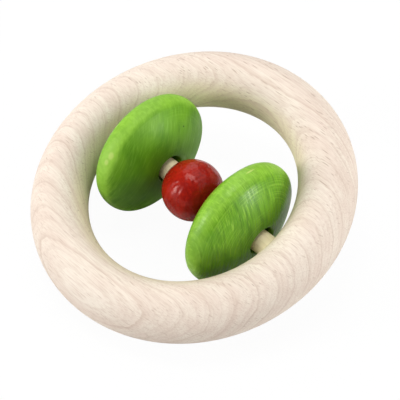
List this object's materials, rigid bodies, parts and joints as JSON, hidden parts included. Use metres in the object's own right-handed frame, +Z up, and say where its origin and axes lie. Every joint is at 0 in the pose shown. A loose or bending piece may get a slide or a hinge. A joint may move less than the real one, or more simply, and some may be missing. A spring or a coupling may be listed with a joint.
{
  "type": "rattle ring",
  "caption": "Wooden baby rattle: a round-section grip ring with a dowel across its opening, on which lens-shaped discs slide and a ball spins, clacking when shaken.",
  "frame": {"origin": "on the table, below the ring's centre, with the toy lying as it rests: on the rims of both discs and on the -Y side of the ring", "axes": "+X along the dowel towards its blind end, +Z up from the table, +Y towards the raised side of the ring"},
  "size_m": [0.086, 0.0834, 0.035],
  "materials": {
    "beech": "bare pale beech, sanded smooth",
    "dowel_wood": "bare pale wood, plain",
    "green_stain": "leaf-green stain under a satin clear coat, grain showing through",
    "red_lacquer": "deep red lacquer, glossy"
  },
  "bodies": {
    "frame": {"grip_ring": "beech", "axle_dowel": "dowel_wood"},
    "left_disc": {"left_disc": "green_stain"},
    "right_disc": {"right_disc": "green_stain"},
    "ball": {"centre_ball": "red_lacquer"}
  },
  "joints": [
    {"name": "left_disc_slide", "type": "slide", "parent": "frame", "child": "left_disc", "axis": [1, 0, 0], "range_m": [-0.0021, 0.0017]},
    {"name": "right_disc_slide", "type": "slide", "parent": "frame", "child": "right_disc", "axis": [1, 0, 0], "range_m": [-0.00155, 0.0017]},
    {"name": "ball_spin", "type": "hinge", "parent": "frame", "child": "ball", "pos_m": [0.00035, 0.00018, 0.01672], "axis": [1, 0, 0], "continuous": true}
  ]
}
